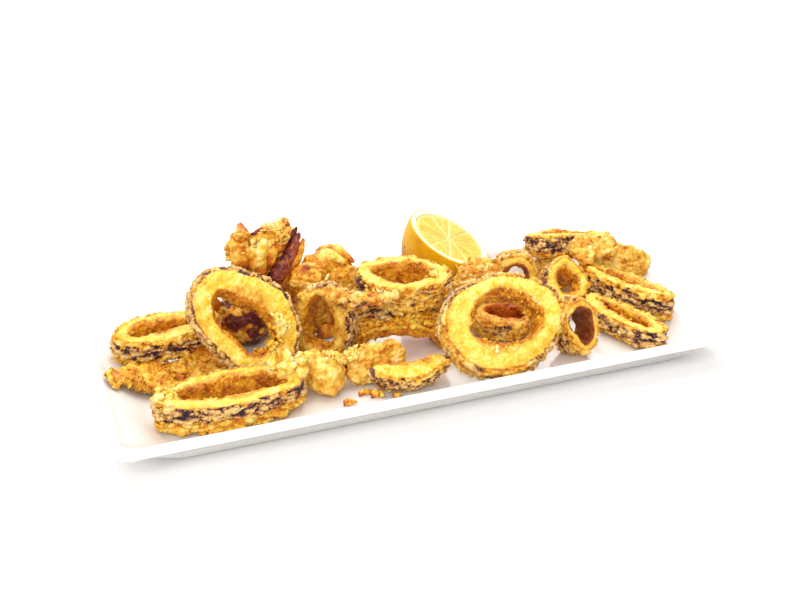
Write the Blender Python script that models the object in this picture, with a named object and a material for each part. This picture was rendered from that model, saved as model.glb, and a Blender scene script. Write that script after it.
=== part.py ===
"""Fried calamari and half a lemon on a long white porcelain platter.

Metres, +Z up. X runs along the platter and +Y to its back. The origin is on the
table, under the middle of the platter.
"""

import math
import random

import bpy
from mathutils import Matrix, Vector, noise
from mathutils.bvhtree import BVHTree

MM = 0.001

# Platter
PLATTER_LENGTH = 0.360
PLATTER_WIDTH = 0.168
PLATTER_HEIGHT = 0.022
PLATTER_FLOOR = 0.006
CORNER_RADIUS = 0.010
CORNER_STEPS = 4
RIM_WALL = 0.0046
RIM_TOP = 0.0038
RIM_ROUND = 0.0012
UNDER_RIM = 0.0035
FLOOR_BLEND = 0.0050
FOOT_IN_LENGTH = 0.029
FOOT_IN_WIDTH = 0.021
FOOT_RIDGE = 0.004
FOOT_RECESS = 0.0015
FOOT_ROUND = 0.0012

# Lemon half
LEMON_RADIUS = 0.0285
LEMON_DOME = 0.0395
LEMON_NUB = 0.0035
NUB_RADIUS = 0.0042
DOME_STEPS = 10
CUT_ROUND = 0.0004
PEEL_THICKNESS = 0.0042
FLESH_DEPTH = 0.012
LEMON_SIDES = 24
LEMON_PLACE = (0.0515, 0.0546)
LEMON_FACING = -38.0
LEMON_RISE = 62.0

# Calamari
GAP = 0.0003
RING_STEPS = 26
SECTION_STEPS = 10
SECTION_SQUARE = 0.5
OUTLINE_WAVE = 0.055
HEIGHT_WAVE = 0.10
WALL_WAVE = 0.14
RELIEF = 0.0010
RELIEF_SIZE = 0.006
TUFT_SPREAD = 14.0
TUFT_HEIGHT = 0.8
STRAND_SIDES = 10
STRAND_ROWS = 13
LUMP_SIDES = (12, 8)
DROP_FROM = 0.25
LIFT_STEP = 0.0001

# Colours
PORCELAIN = (0.90, 0.89, 0.88, 1.0)
PEEL_YELLOW = (0.93, 0.66, 0.09, 1.0)
FLESH_YELLOW = (0.96, 0.88, 0.42, 1.0)
BATTER = (0.88, 0.56, 0.14, 1.0)
BATTER_PALE = (0.93, 0.72, 0.28, 1.0)
TENTACLE = (0.62, 0.32, 0.12, 1.0)


def clear_scene():
    for thing in list(bpy.data.objects):
        bpy.data.objects.remove(thing, do_unlink=True)


def material(name, colour, roughness):
    made = bpy.data.materials.new(name)
    made.use_nodes = True
    shader = made.node_tree.nodes["Principled BSDF"]
    shader.inputs["Base Color"].default_value = colour
    shader.inputs["Roughness"].default_value = roughness
    made.diffuse_color = colour
    return made


def add_object(name, verts, faces, colour, roughness=0.6):
    mesh = bpy.data.meshes.new(name)
    mesh.from_pydata([tuple(v) for v in verts], [], faces)
    mesh.update()
    mesh.shade_smooth()
    mesh.materials.append(material(name, colour, roughness))
    thing = bpy.data.objects.new(name, mesh)
    bpy.context.scene.collection.objects.link(thing)
    return thing


def loft(rows, closed):
    """Faces between rows of points; an open loft is shut by a fan at each end."""
    verts = [v for row in rows for v in row]
    count = len(rows[0])
    faces = []
    last = len(rows) if closed else len(rows) - 1
    for i in range(last):
        a = i * count
        b = ((i + 1) % len(rows)) * count
        for j in range(count):
            k = (j + 1) % count
            faces.append((a + j, b + j, b + k, a + k))
    if not closed:
        for row, start, turned in ((rows[0], 0, False), (rows[-1], (len(rows) - 1) * count, True)):
            middle = len(verts)
            verts.append(sum(row, Vector()) / count)
            for j in range(count):
                k = (j + 1) % count
                edge = (start + k, start + j) if turned else (start + j, start + k)
                faces.append((middle,) + edge)
    return verts, faces


def outward(faces, verts):
    """The same faces, turned over if they enclose a negative volume."""
    volume = 0.0
    for face in faces:
        first = verts[face[0]]
        for i in range(1, len(face) - 1):
            volume += first.dot(verts[face[i]].cross(verts[face[i + 1]]))
    if volume < 0:
        return [tuple(reversed(face)) for face in faces]
    return faces


def power(value, exponent):
    return math.copysign(abs(value) ** exponent, value)


def crust(point, seed, amount):
    """Lumpy relief of fried batter at a point."""
    place = point / RELIEF_SIZE + Vector((seed * 3.1, seed * 1.7, seed * 2.3))
    return amount * (noise.noise(place) + 0.5 * noise.noise(place * 2.1))


def waves(rng, amount):
    """A smooth random wobble round a circle, as a function of the angle."""
    parts = [(k, rng.uniform(0.5, 1.0) * amount / math.sqrt(k - 1), rng.uniform(0, math.tau))
             for k in (2, 3, 5)]
    return lambda angle: sum(a * math.cos(k * angle + start) for k, a, start in parts)


def ring(name, length, depth, band, wall, seed, flare=0.0, arc=360.0, hole=(0.0, 0.0), tufts=(),
         wave=OUTLINE_WAVE, colour=BATTER):
    """A squid ring in batter: length by depth outside, band high, wall thick.

    Its axis is local Z. Flare widens the +Z end, hole moves the opening off centre,
    and an arc under 360 degrees leaves it open, with the missing part at local -Y.
    Each tuft of loose batter is an angle, a height from -1 to 1 and how far it grows.
    """
    rng = random.Random(seed)
    outline = waves(rng, wave)
    height = waves(rng, HEIGHT_WAVE)
    thick = waves(rng, WALL_WAVE)
    closed = arc >= 360.0
    steps = RING_STEPS if closed else max(8, round(RING_STEPS * arc / 360.0))
    rows = []
    for i in range(steps if closed else steps + 1):
        part = i / steps
        angle = math.radians(90.0 - arc / 2 + arc * part)
        shape = 1.0 + outline(angle)
        skin = wall * (1.0 + thick(angle))
        half = band / 2 * (1.0 + height(angle))
        shrink = 1.0
        if not closed:
            shrink = (0.45, 0.82, 1.0)[min(i, steps - i, 2)]
        outer = Vector((length / 2 * math.cos(angle), depth / 2 * math.sin(angle), 0)) * shape
        inside = length / 2 - skin, depth / 2 - skin
        inner = Vector((inside[0] * math.cos(angle), inside[1] * math.sin(angle), 0)) * shape
        inner += Vector((hole[0], hole[1], 0))
        middle = (outer + inner) / 2
        row = []
        for j in range(SECTION_STEPS):
            turn = math.tau * (j + 0.5) / SECTION_STEPS
            across = power(math.cos(turn), SECTION_SQUARE)
            up = power(math.sin(turn), SECTION_SQUARE)
            point = middle + (outer - inner) / 2 * across * shrink
            point = Vector((point.x * (1 + flare * up), point.y * (1 + flare * up), up * half * shrink))
            away = (point - Vector((middle.x, middle.y, 0))).normalized()
            grow = crust(point, seed, RELIEF)
            for spot, level, size in tufts:
                apart = abs((math.degrees(angle) - spot + 180) % 360 - 180) / TUFT_SPREAD
                grow += size * math.exp(-apart ** 2 - ((up - level) / TUFT_HEIGHT) ** 2)
            row.append(point + away * grow)
        rows.append(row)
    verts, faces = loft(rows, closed)
    return add_object(name, verts, outward(faces, verts), colour)


def smooth_path(points, steps):
    """Points along a Catmull-Rom curve through the given ones."""
    ends = [points[0] * 2 - points[1]] + points + [points[-1] * 2 - points[-2]]
    path = []
    for i in range(steps + 1):
        along = i / steps * (len(points) - 1)
        k = min(int(along), len(points) - 2)
        t = along - k
        a, b, c, d = ends[k:k + 4]
        path.append(0.5 * ((2 * b) + (c - a) * t + (2 * a - 5 * b + 4 * c - d) * t * t
                           + (3 * b - a - 3 * c + d) * t ** 3))
    return path


def strand_mesh(points, width, thick, seed, roll=0.0, turn=0.0, taper=0.4, ruffle=0.0, suckers=0,
                rows=STRAND_ROWS, sides=STRAND_SIDES, relief=RELIEF):
    """A tentacle, strip or fin swept along a path given in millimetres.

    Roll turns the flat section about the path and turn adds twist towards the far
    end, both in degrees. Taper is the far end's size against the middle's.
    """
    path = smooth_path([Vector(p) * MM for p in points], rows)
    rng = random.Random(seed)
    wobble = rng.uniform(0, math.tau)
    side = None
    loops = []
    for i, centre in enumerate(path):
        part = i / rows
        ahead = (path[min(i + 1, rows)] - path[max(i - 1, 0)]).normalized()
        if side is None:
            side = ahead.cross(Vector((0, 0, 1)))
            if side.length < 0.2:
                side = ahead.cross(Vector((0, 1, 0)))
        side = (side - ahead * side.dot(ahead)).normalized()
        lean = Matrix.Rotation(math.radians(roll + turn * part), 3, ahead)
        wide = lean @ side
        tall = ahead.cross(wide)
        size = 1.0 + (taper - 1.0) * part ** 1.5
        size *= (0.5, 0.85, 1.0)[min(i, 2)] * (0.45, 0.8, 1.0)[min(rows - i, 2)]
        size *= 1.0 + 0.08 * math.sin(9.0 * part + wobble)
        loop = []
        for j in range(sides):
            angle = math.tau * (j + 0.5) / sides
            x = power(math.cos(angle), 0.8) * width / 2 * size
            y = power(math.sin(angle), 0.8) * thick / 2 * size
            if suckers and math.sin(angle) > 0.4:
                y += 0.18 * thick * size * max(0.0, math.cos(math.tau * suckers * part))
            y += ruffle * math.sin(math.tau * (2.5 * part) + wobble) * abs(math.cos(angle)) ** 2 \
                * math.copysign(1, math.cos(angle))
            point = centre + wide * x + tall * y
            away = (point - centre).normalized()
            loop.append(point + away * crust(point, seed, relief))
        loops.append(loop)
    verts, faces = loft(loops, False)
    return verts, outward(faces, verts)


def strand(name, points, width, thick, seed, colour=BATTER, **shape):
    verts, faces = strand_mesh(points, width, thick, seed, **shape)
    return add_object(name, verts, faces, colour)


def lump(name, size, seed, colour=BATTER, centre=(0, 0, 0), relief=0.0016):
    """A craggy lump of batter, size across in X, Y and Z."""
    around, levels = LUMP_SIDES
    rows = []
    for i in range(1, levels):
        tip = math.pi * i / levels
        row = []
        for j in range(around):
            turn = math.tau * j / around
            way = Vector((math.sin(tip) * math.cos(turn), math.sin(tip) * math.sin(turn), -math.cos(tip)))
            point = Vector((way.x * size[0], way.y * size[1], way.z * size[2])) / 2
            row.append(Vector(centre) * MM + point + way * crust(point, seed, relief))
        rows.append(row)
    verts, faces = loft(rows, False)
    return add_object(name, verts, outward(faces, verts), colour)


def fuse(name, pieces, colour):
    """One closed body from overlapping pieces, joined by an exact union."""
    first = pieces[0]
    for other in pieces[1:]:
        join = first.modifiers.new("join", "BOOLEAN")
        join.operation = "UNION"
        join.solver = "EXACT"
        join.use_self = True
        join.object = other
    graph = bpy.context.evaluated_depsgraph_get()
    mesh = bpy.data.meshes.new_from_object(first.evaluated_get(graph))
    for piece in pieces:
        bpy.data.objects.remove(piece, do_unlink=True)
    mesh.materials.clear()
    mesh.materials.append(material(name, colour, 0.6))
    mesh.shade_smooth()
    joined = bpy.data.objects.new(name, mesh)
    bpy.context.scene.collection.objects.link(joined)
    return joined


def aim(facing, rise, spin=0.0):
    """Local Z points to the compass angle facing and rise degrees above level."""
    return (Matrix.Rotation(math.radians(facing), 4, "Z")
            @ Matrix.Rotation(math.radians(90.0 - rise), 4, "Y")
            @ Matrix.Rotation(math.radians(spin), 4, "Z"))


def world_shape(thing):
    """World corners, sample points and search tree of an object."""
    mesh = thing.data
    corners = [thing.matrix_world @ v.co for v in mesh.vertices]
    samples = list(corners)
    samples += [(corners[a] + corners[b]) / 2 for a, b in (e.vertices for e in mesh.edges)]
    samples += [sum((corners[i] for i in p.vertices), Vector()) / len(p.vertices) for p in mesh.polygons]
    tree = BVHTree.FromPolygons(corners, [tuple(p.vertices) for p in mesh.polygons])
    return samples, tree


def set_down(thing, below, x, y, facing=0.0, rise=90.0, spin=0.0, start=DROP_FROM):
    """Put a piece at x and y, as low as the pieces below its starting height allow."""
    turn = aim(facing, rise, spin)
    thing.matrix_world = Matrix.Translation((x, y, start)) @ turn
    samples, tree = world_shape(thing)
    room = min(point.z for point in samples)
    for other_samples, other_tree in below:
        for point in samples:
            hit = other_tree.ray_cast(point, Vector((0, 0, -1)))
            if hit[0] is not None:
                room = min(room, hit[3])
        for point in other_samples:
            hit = tree.ray_cast(point, Vector((0, 0, 1)))
            if hit[0] is not None:
                room = min(room, hit[3])
    height = start - room + GAP
    clear = False
    while not clear:
        thing.matrix_world = Matrix.Translation((x, y, height)) @ turn
        samples, tree = world_shape(thing)
        clear = not any(tree.overlap(other_tree) for _, other_tree in below)
        height += LIFT_STEP
    below.append((samples, tree))


def rounded_outline(half_length, half_width, radius):
    """Corner points of a rectangle with round corners."""
    points = []
    for quarter in range(4):
        sign_x = 1 if quarter in (0, 3) else -1
        sign_y = 1 if quarter in (0, 1) else -1
        for step in range(CORNER_STEPS + 1):
            angle = math.radians(90 * quarter + 90 * step / CORNER_STEPS)
            points.append((sign_x * (half_length - radius) + radius * math.cos(angle),
                           sign_y * (half_width - radius) + radius * math.sin(angle)))
    return points


def build_platter():
    """A platter with a foot, sloping sides and a thick rounded rim."""
    rim_foot = PLATTER_HEIGHT - RIM_WALL
    foot = FOOT_IN_LENGTH, FOOT_IN_WIDTH

    def level(inset, height, of_foot=0.0):
        return inset + of_foot * foot[0], inset + of_foot * foot[1], height

    levels = [
        level(FOOT_RIDGE + FOOT_ROUND, FOOT_RECESS, of_foot=1.0),
        level(FOOT_RIDGE, 0.0, of_foot=1.0),
        level(0.0, 0.0, of_foot=1.0),
        level(-FOOT_ROUND * 1.5, FOOT_ROUND, of_foot=1.0),
        level(UNDER_RIM, rim_foot - RIM_ROUND),
        level(RIM_ROUND, rim_foot),
        level(0.0, rim_foot + RIM_ROUND),
        level(0.0, PLATTER_HEIGHT - RIM_ROUND),
        level(RIM_ROUND * 0.5, PLATTER_HEIGHT - RIM_ROUND * 0.25),
        level(RIM_ROUND * 1.4, PLATTER_HEIGHT),
        level(RIM_TOP, PLATTER_HEIGHT),
        level(RIM_TOP + RIM_ROUND, PLATTER_HEIGHT - RIM_ROUND * 0.7),
        level(RIM_TOP + RIM_ROUND * 2.6, PLATTER_HEIGHT - RIM_ROUND * 2.5),
        level(0.0, PLATTER_FLOOR + FLOOR_BLEND, of_foot=0.62),
        level(0.0, PLATTER_FLOOR + FLOOR_BLEND * 0.24, of_foot=0.92),
        level(0.0, PLATTER_FLOOR, of_foot=1.20),
    ]
    rows = []
    for inset_x, inset_y, z in levels:
        outline = rounded_outline(PLATTER_LENGTH / 2 - inset_x, PLATTER_WIDTH / 2 - inset_y, CORNER_RADIUS)
        rows.append([Vector((x, y, z)) for x, y in outline])
    verts, faces = loft(rows, False)
    return add_object("platter", verts, outward(faces, verts), PORCELAIN, 0.15)


def turned(profile, sides):
    """A body turned about local Z from (radius, height) pairs, shut at both ends."""
    rows = []
    for radius, z in profile:
        row = []
        for step in range(sides):
            angle = math.tau * step / sides
            row.append(Vector((radius * math.cos(angle), radius * math.sin(angle), z)))
        rows.append(row)
    verts, faces = loft(rows, False)
    return verts, outward(faces, verts)


def build_lemon(below):
    """Half a lemon, cut face up and to the right: a peel cup and the flesh in it."""
    peel_inside = LEMON_RADIUS - PEEL_THICKNESS
    nub = [(NUB_RADIUS * 0.5, -LEMON_DOME - LEMON_NUB), (NUB_RADIUS, -LEMON_DOME - LEMON_NUB * 0.4)]
    dome = []
    for step in range(1, DOME_STEPS + 1):
        angle = math.radians(90.0 * step / DOME_STEPS)
        dome.append((LEMON_RADIUS * math.sin(angle), -LEMON_DOME * math.cos(angle)))
    cut = [(LEMON_RADIUS - CUT_ROUND, CUT_ROUND), (peel_inside, 0.0), (peel_inside, -FLESH_DEPTH)]
    verts, faces = turned(nub + dome + cut, LEMON_SIDES)
    peel = add_object("lemon_peel", verts, faces, PEEL_YELLOW, 0.4)
    radius = peel_inside - GAP
    flesh_profile = [(radius, GAP - FLESH_DEPTH), (radius, -2 * CUT_ROUND),
                     (radius - CUT_ROUND, -0.5 * CUT_ROUND), (radius * 0.5, -CUT_ROUND)]
    verts, faces = turned(flesh_profile, LEMON_SIDES)
    flesh = add_object("lemon_flesh", verts, faces, FLESH_YELLOW, 0.3)
    set_down(peel, below, *LEMON_PLACE, facing=LEMON_FACING, rise=LEMON_RISE)
    flesh.matrix_world = peel.matrix_world.copy()


def build_tentacle_crown(name):
    """The squid's head with its arms, standing at the back left."""
    pieces = [
        lump("head", (0.032, 0.026, 0.046), 41, centre=(2, 2, 24)),
        lump("mass", (0.034, 0.022, 0.028), 46, centre=(-2, -1, 48)),
        strand("arm_left", [(-4, 0, 34), (-13, 0, 44), (-17, -2, 54), (-17, -3, 62), (-14, -3, 69)],
               0.015, 0.011, 42, taper=0.6, suckers=6),
        strand("arm_second", [(-4, 0, 42), (-5, -3, 52), (0, -4, 60), (7, -3, 66)], 0.019, 0.014, 43,
               taper=0.7, suckers=5),
        strand("arm_third", [(4, 4, 40), (8, 4, 54), (11, 5, 62), (12, 6, 70)], 0.013, 0.011, 44, taper=0.7),
        strand("arm_low", [(0, 0, 24), (-10, -6, 22), (-19, -12, 18), (-30, -17, 14)], 0.028, 0.024, 47,
               taper=0.8, suckers=5),
        strand("blade", [(-1, -6, 34), (1, -5, 41), (7, -3, 50), (14, -1, 58), (20, 0, 66)], 0.017, 0.007, 45,
               roll=60, taper=0.25),
    ]
    return fuse(name, pieces, TENTACLE)


def build_tentacle_curl(name):
    """Tentacles curling over behind the upright ring."""
    pieces = [
        lump("disc", (0.024, 0.016, 0.021), 51, centre=(-13, -8, 41.5)),
        lump("fold", (0.028, 0.018, 0.034), 54, centre=(5, -2.5, 29.5)),
        strand("over", [(-14, -4.5, 37.5), (-7, 0, 45), (3, 2, 47), (12, 0, 42), (19, -4, 33), (22, -6, 23)],
               0.017, 0.013, 52, taper=0.6, suckers=8),
        strand("under", [(-13.5, -6.5, 38.5), (-12, -8.5, 29), (-8, -8, 17), (-2, -6, 7)], 0.018, 0.013, 53,
               taper=0.8),
    ]
    return fuse(name, pieces, BATTER)


def build_calamari(below):
    """Every piece, lowest first, each set down on those before it."""
    set_down(strand("fin_left", [(36, 6, 5), (18, 4, 4), (2, 0, 4), (-12, 0, 8), (-25, -6, 14), (-28, -14, 12)],
                    width=0.034, thick=0.006, seed=11, roll=-12, taper=0.20, ruffle=0.002, colour=TENTACLE),
             below, x=-0.142, y=0.000)
    set_down(ring("ring_front_left", length=0.078, depth=0.033, band=0.018, wall=0.0095, seed=12,
                  tufts=((20, 1, 0.004), (200, 0.5, 0.002))),
             below, x=-0.115, y=-0.042, facing=-90, rise=84, spin=88)
    set_down(ring("ring_left_low", length=0.060, depth=0.028, band=0.018, wall=0.0095, seed=13),
             below, x=-0.136, y=0.029, facing=-100, rise=82, spin=102)
    set_down(build_tentacle_crown("tentacles_back"), below, x=-0.069, y=0.052)
    set_down(build_tentacle_curl("tentacles_curled"), below, x=-0.036, y=0.042, start=0.004)
    set_down(ring("ring_upright", length=0.044, depth=0.034, band=0.017, wall=0.0080, seed=16),
             below, x=-0.048, y=0.008, facing=-130, rise=14, start=0.024)
    set_down(ring("ring_tall", length=0.066, depth=0.050, band=0.020, wall=0.0140, seed=17, flare=0.03,
                  hole=(0.001, -0.002)),
             below, x=-0.0955, y=0.004, facing=-86, rise=30, spin=29)
    set_down(ring("band_front", length=0.054, depth=0.036, band=0.015, wall=0.0110, seed=21, arc=140.0),
             below, x=-0.014, y=-0.039, facing=-92, rise=55, spin=-90, start=0.014)
    set_down(strand("tentacle_strip", [(-18, -2, 10), (-6, 0, 11), (6, 1, 13), (16, 2, 15)],
                    width=0.021, thick=0.009, seed=19, roll=70, taper=0.9, suckers=9, ruffle=0.001),
             below, x=-0.030, y=-0.033, start=0.001)
    set_down(strand("tentacle_front", [(-16, 12, 16), (-11, 6, 12), (-4, 1, 9), (4, -3, 8)],
                    width=0.018, thick=0.017, seed=18, taper=1.15, colour=BATTER_PALE),
             below, x=-0.056, y=-0.037, start=0.0)
    set_down(ring("ring_arched", length=0.058, depth=0.040, band=0.024, wall=0.0100, seed=20, arc=225.0),
             below, x=-0.003, y=0.006, facing=-106, rise=-34, spin=90, start=0.012)
    set_down(ring("ring_front", length=0.068, depth=0.057, band=0.020, wall=0.0145, seed=22, flare=0.02,
                  hole=(0.002, 0.001)),
             below, x=0.040, y=-0.044, facing=-96, rise=44, spin=112, start=0.032)
    set_down(ring("ring_inner", length=0.040, depth=0.027, band=0.014, wall=0.0085, seed=35),
             below, x=0.062, y=-0.007, facing=-100, rise=76, spin=80, start=0.018)
    set_down(ring("ring_small", length=0.029, depth=0.025, band=0.019, wall=0.0052, seed=23),
             below, x=0.0895, y=-0.041, facing=-76, rise=24, start=0.020)
    set_down(ring("ring_right_front", length=0.063, depth=0.022, band=0.014, wall=0.0090, seed=24),
             below, x=0.129, y=-0.032, facing=-170, rise=86, spin=92, start=0.016)
    set_down(ring("ring_right_long", length=0.069, depth=0.022, band=0.019, wall=0.0090, seed=25),
             below, x=0.147, y=-0.005, facing=-160, rise=94, spin=90, start=0.018)
    set_down(ring("ring_right_back", length=0.030, depth=0.030, band=0.017, wall=0.0085, seed=26),
             below, x=0.113, y=0.013, facing=-90, rise=44, start=0.020)
    set_down(ring("band_back", length=0.046, depth=0.026, band=0.010, wall=0.0090, seed=34, arc=200.0),
             below, x=0.134, y=0.050, facing=-110, rise=88, spin=200, start=0.013)
    set_down(ring("ring_back", length=0.057, depth=0.025, band=0.017, wall=0.0092, seed=27),
             below, x=0.139, y=0.056, facing=-109, rise=104, spin=90)
    set_down(strand("fin_folded", [(-15, 8, 9), (-6, 3, 12), (5, -5, 13), (12, -13, 11)],
                    width=0.025, thick=0.007, seed=29, roll=55, turn=25, taper=0.75, ruffle=0.0015,
                    colour=BATTER_PALE),
             below, x=0.163, y=0.024, start=0.012)
    set_down(strand("fin_back", [(-17, 0, 9), (-7, 3, 12), (4, 4, 13), (15, 2, 11)],
                    width=0.019, thick=0.007, seed=28, roll=35, taper=0.8, ruffle=0.001),
             below, x=0.144, y=0.024, start=0.012)
    set_down(lump("batter_lump", size=(0.034, 0.020, 0.041), seed=30),
             below, x=0.056, y=0.0185, start=0.027)
    set_down(ring("ring_back_arched", length=0.030, depth=0.043, band=0.015, wall=0.0080, seed=31, arc=240.0),
             below, x=0.091, y=0.038, facing=-110, rise=10, spin=90, start=0.027)
    set_down(ring("ring_top", length=0.055, depth=0.042, band=0.016, wall=0.0100, seed=32),
             below, x=0.002, y=0.010, facing=-90, rise=86, spin=70)
    set_down(strand("tentacle_scrap", [(-20, 4, 6), (-8, 0, 1), (6, -4, 0), (18, -8, 3)],
                    width=0.013, thick=0.009, seed=33, colour=TENTACLE),
             below, x=-0.029, y=-0.006, start=0.036)


def main():
    clear_scene()
    platter = build_platter()
    below = [world_shape(platter)]
    build_lemon(below)
    build_calamari(below)


main()
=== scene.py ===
"""Fried calamari and half a lemon on a long white porcelain platter.

Metres, +Z up, X along the platter and +Y to its back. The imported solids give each
piece its place; here they get their crust, crumbs, skin, peel and glaze.
"""

import math
import random

import bpy
import numpy as np
from mathutils import Matrix, Vector, noise
from mathutils.bvhtree import BVHTree


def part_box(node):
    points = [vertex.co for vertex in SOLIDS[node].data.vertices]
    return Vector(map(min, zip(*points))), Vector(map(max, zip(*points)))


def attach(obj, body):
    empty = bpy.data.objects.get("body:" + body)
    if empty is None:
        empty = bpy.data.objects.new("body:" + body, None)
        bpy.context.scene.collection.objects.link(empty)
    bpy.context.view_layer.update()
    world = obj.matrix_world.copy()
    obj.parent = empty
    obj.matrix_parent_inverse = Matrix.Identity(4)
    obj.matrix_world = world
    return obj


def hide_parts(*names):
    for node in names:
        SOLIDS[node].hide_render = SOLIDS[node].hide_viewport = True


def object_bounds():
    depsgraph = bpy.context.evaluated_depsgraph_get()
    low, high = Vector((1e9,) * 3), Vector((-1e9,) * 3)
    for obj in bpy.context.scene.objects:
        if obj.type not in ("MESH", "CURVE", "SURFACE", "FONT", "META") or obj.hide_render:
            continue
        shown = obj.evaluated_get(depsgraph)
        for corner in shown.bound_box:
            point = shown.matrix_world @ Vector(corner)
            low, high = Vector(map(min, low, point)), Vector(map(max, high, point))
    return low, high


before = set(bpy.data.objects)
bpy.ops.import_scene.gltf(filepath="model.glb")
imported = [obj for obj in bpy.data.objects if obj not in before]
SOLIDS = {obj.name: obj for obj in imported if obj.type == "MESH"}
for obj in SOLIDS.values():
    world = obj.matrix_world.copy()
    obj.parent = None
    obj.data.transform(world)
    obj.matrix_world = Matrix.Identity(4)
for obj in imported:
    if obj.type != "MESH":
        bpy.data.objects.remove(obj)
CAD_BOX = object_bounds()
BODY = "root"
# Crust and crumbs above this height are pressed down by this share, to stay in the solids' box.
TOP = CAD_BOX[1][2] - 0.0012
TOP_PRESS = 0.8

# Squid rings: facing, rise and spin turn local Z to the ring's axis, then come the
# outside length and depth, the band's height, the wall, and the arc in degrees.
RINGS = {
    "ring_front_left": (-90, 84, 88, 0.078, 0.033, 0.018, 0.0095, 360),
    "ring_left_low": (-100, 82, 102, 0.060, 0.028, 0.018, 0.0095, 360),
    "ring_upright": (-130, 14, 0, 0.044, 0.034, 0.017, 0.0080, 360),
    "ring_tall": (-86, 30, 29, 0.066, 0.050, 0.020, 0.0140, 360),
    "band_front": (-92, 55, -90, 0.054, 0.036, 0.015, 0.0110, 140),
    "ring_arched": (-106, -34, 90, 0.058, 0.040, 0.024, 0.0100, 225),
    "ring_front": (-96, 44, 112, 0.068, 0.057, 0.020, 0.0145, 360),
    "ring_inner": (-100, 76, 80, 0.040, 0.027, 0.014, 0.0085, 360),
    "ring_small": (-76, 24, 0, 0.029, 0.025, 0.019, 0.0052, 360),
    "ring_right_front": (-170, 86, 92, 0.063, 0.022, 0.014, 0.0090, 360),
    "ring_right_long": (-160, 94, 90, 0.069, 0.022, 0.019, 0.0090, 360),
    "ring_right_back": (-90, 44, 0, 0.030, 0.030, 0.017, 0.0085, 360),
    "band_back": (-110, 88, 200, 0.046, 0.026, 0.010, 0.0090, 200),
    "ring_back": (-109, 104, 90, 0.057, 0.025, 0.017, 0.0092, 360),
    "ring_back_arched": (-110, 10, 90, 0.030, 0.043, 0.015, 0.0080, 240),
    "ring_top": (-90, 86, 70, 0.055, 0.042, 0.016, 0.0100, 360),
}
# How much of the dark squid skin shows on a ring's outside.
RING_SKIN = {
    "ring_upright": 0.85, "ring_arched": 0.0, "ring_small": 0.4, "ring_right_back": 0.1, "ring_front": 0.55,
    "band_back": 0.2, "ring_top": 0.5, "band_front": 0.85, "ring_inner": 0.4, "ring_back_arched": 0.3,
}
# Where the skin lies on a ring's outside, along the band from -1 at the back edge to 1 at the front
# edge: its middle and its half width.
SKIN_PLACE = {
    "ring_tall": (0.05, 0.95), "ring_front": (0.05, 0.95), "ring_front_left": (0.25, 0.42),
    "ring_left_low": (0.10, 0.38), "ring_upright": (0.0, 0.85), "ring_right_front": (0.10, 0.60),
    "ring_right_long": (0.10, 0.45), "band_front": (-0.2, 0.8), "ring_top": (0.1, 0.55),
}
# How much painted shade darkens and browns a ring's inside, from 0 to 1, and a shift of the whole ring's
# painted shade, where less than 0 is lighter.
RING_INSIDE_SHADE = {"ring_small": 0.9, "ring_back_arched": 0.9, "ring_inner": 0.4, "ring_arched": 0.8}
RING_SHADE_SHIFT = {"ring_inner": 0.12, "ring_small": 0.15, "ring_arched": -0.55, "ring_top": -0.25}
# Rings that are golden-orange all over, from 0 to 1.
RING_GOLD = {"ring_arched": 0.9, "ring_upright": 0.45, "ring_inner": 0.5}
# The other squid pieces: dark skin, golden crust and how craggy it is, from 0 to 1.
TENTACLES = {
    "fin_left": (0.30, 0.85, 0.40),
    "tentacles_back": (0.34, 0.80, 0.55),
    "tentacles_curled": (0.14, 0.70, 0.40),
    "tentacle_strip": (0.08, 0.20, 0.45),
    "tentacle_front": (0.06, 0.10, 0.22),
    "tentacle_scrap": (0.50, 0.20, 0.60),
    "fin_folded": (0.10, 0.20, 0.42),
    "fin_back": (0.12, 0.30, 0.45),
    "batter_lump": (0.20, 0.35, 0.58),
}
# The maroon blade of the back tentacles: its path, its reach to both sides, the way to its right and
# how far it goes that way, with a soft end.
BLADE_PATH = [(-0.070, 0.046, 0.038), (-0.068, 0.047, 0.045), (-0.062, 0.049, 0.054),
              (-0.055, 0.051, 0.062), (-0.049, 0.052, 0.070)]
BLADE_REACH = 0.0085
BLADE_RIGHT = (0.934, -0.358, 0.0)
BLADE_EDGE = 0.0022
BLADE_SOFT = 0.001
# The dark low arm behind the tall ring: its middle, its reach and how much it swells.
LOW_ARM = (-0.094, 0.037, 0.020)
LOW_ARM_REACH = 0.021
LOW_ARM_SWELL = 0.0035
# No tentacle sinks under the platter's floor.
FLOOR_TOP = 0.0064

# How fine the crust's mesh is, how often it is smoothed, and the steps of a vertex group's weights
VOXEL = 0.00058
SMOOTHING = 30
WEIGHT_STEPS = 20
# This field sets the painted shade: batter is painted darker and browner where the heap crowds close in
# front of it, in crevices and between pieces.
# The field of how full the heap is: its cells, the empty ones round it, the walls that a line up
# through a piece can cross, the smoothing, and how far in front of a point it is read.
CELL = 0.0015
CELLS_ROUND = 6
MOST_WALLS = 12
BLURS = 5
CROWD_REACH = 0.0035
# Points closer than this are one, and a line starts again this far past a wall.
HAIR = 0.00002

# Patterns of patches: size and seed. Then how crowded a place is where painted shade starts, and where the
# painted shade is full.
WOBBLE, RAGGED, SHEETS, BARE = (0.007, 3), (0.0026, 4), (0.0065, 6), (0.011, 5)
BROAD, SMALL, THIN_SHEETS, CLUMPS = (0.009, 11), (0.0035, 13), (0.005, 6), (0.006, 31)
CROWD_SHADE = (0.20, 0.72)

# Crumbs of batter: the seed of their scatter, how many shapes there are, and how many crumbs a kind
# with a share of 1 has
CRUMB_SEED = 7
CRUMB_SHAPES = 8
CRUMBS = 4800
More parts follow.
